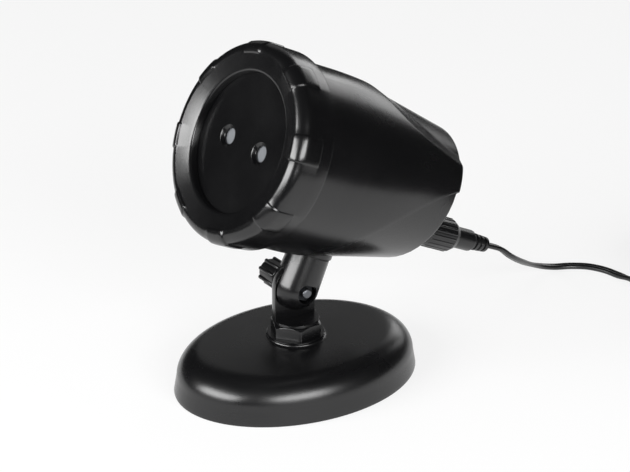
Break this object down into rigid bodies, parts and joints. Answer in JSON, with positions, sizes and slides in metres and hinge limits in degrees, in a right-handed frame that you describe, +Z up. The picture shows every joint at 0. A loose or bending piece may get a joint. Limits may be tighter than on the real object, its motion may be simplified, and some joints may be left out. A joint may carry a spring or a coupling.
{
  "type": "light projector stake",
  "caption": "Round tilting light projector with a lugged bezel on a neck and an oval table foot, with a flat lead, its coil and an adapter.",
  "frame": {"origin": "middle of the foot's underside, on the ground", "axes": "+Z up; -Y the way the projector faces; +X to the side away from the thumb knob"},
  "size_m": [0.1858, 0.4199, 0.2053],
  "materials": {
    "base_black": "satin moulded black",
    "head_black": "satin moulded black",
    "bezel_black": "satin moulded black, a little glossier",
    "plate_black": "matt black",
    "neck_black": "satin moulded black",
    "nut_black": "satin moulded black",
    "knob_black": "satin moulded black",
    "plug_black": "satin moulded black",
    "adapter_black": "fine-grained black",
    "inner_black": "plain black",
    "rubber_black": "matt black rubber",
    "cord_black": "smooth black sheath",
    "tie_black": "woven hook-and-loop strap",
    "window_milky": "milky grey window",
    "bolt_zinc": "bright plated steel",
    "screw_steel": "plated steel",
    "weight_steel": "plain steel plate",
    "carrier_alloy": "machined alloy",
    "module_brass": "plain brass",
    "board_green": "lacquered board",
    "wire_red": "coloured wire sheath"
  },
  "bodies": {
    "base": {"foot_pad": "rubber_black", "base_plate": "inner_black", "base_weight": "weight_steel", "base_cover": "base_black", "base_screws": "screw_steel", "post": "neck_black", "post_washer": "screw_steel", "post_screw": "screw_steel", "friction_washer": "rubber_black", "knob_washer": "screw_steel", "cord_lead": "cord_black", "cord_coil": "cord_black", "coil_tie": "tie_black", "cord_tail": "cord_black", "adapter_case": "adapter_black", "adapter_relief": "cord_black", "adapter_pins": "bolt_zinc"},
    "lock_ring": {"lock_nut": "nut_black"},
    "head": {"tilt_nut": "bolt_zinc", "neck_tube": "neck_black", "neck_gasket": "rubber_black", "neck_screws": "screw_steel", "housing": "head_black", "front_bezel": "bezel_black", "bezel_seal": "rubber_black", "front_plate": "plate_black", "window_left": "window_milky", "window_right": "window_milky", "module_carrier": "carrier_alloy", "carrier_screws": "screw_steel", "module_green": "module_brass", "module_red": "module_brass", "board_spacers": "module_brass", "driver_board": "board_green", "board_parts": "inner_black", "board_screws": "screw_steel", "module_leads": "wire_red", "feed_wires": "wire_red", "inlet_socket": "plug_black", "inlet_seal": "rubber_black", "inlet_nut": "plug_black", "inlet_contacts": "module_brass", "plug_body": "plug_black", "strain_relief": "cord_black"},
    "knob": {"tilt_bolt": "bolt_zinc", "tilt_knob": "knob_black"},
    "coupling": {"coupling_nut": "plug_black"}
  },
  "joints": [
    {"name": "lock_nut_turn", "type": "hinge", "parent": "base", "child": "lock_ring", "pos_m": [0, 0, 0.032], "axis": [0, 0, 1], "continuous": true},
    {"name": "head_tilt", "type": "hinge", "parent": "base", "child": "head", "pos_m": [0, 0, 0.057], "axis": [-1, 0, 0], "range_deg": [-50, 14], "deforming": ["cord_lead"]},
    {"name": "knob_turn", "type": "hinge", "parent": "head", "child": "knob", "pos_m": [0, 0, 0.057], "axis": [1, 0, 0], "continuous": true},
    {"name": "coupling_turn", "type": "hinge", "parent": "head", "child": "coupling", "pos_m": [0, 0.101, 0.06448], "axis": [0, 0.8988, -0.4384], "continuous": true}
  ]
}
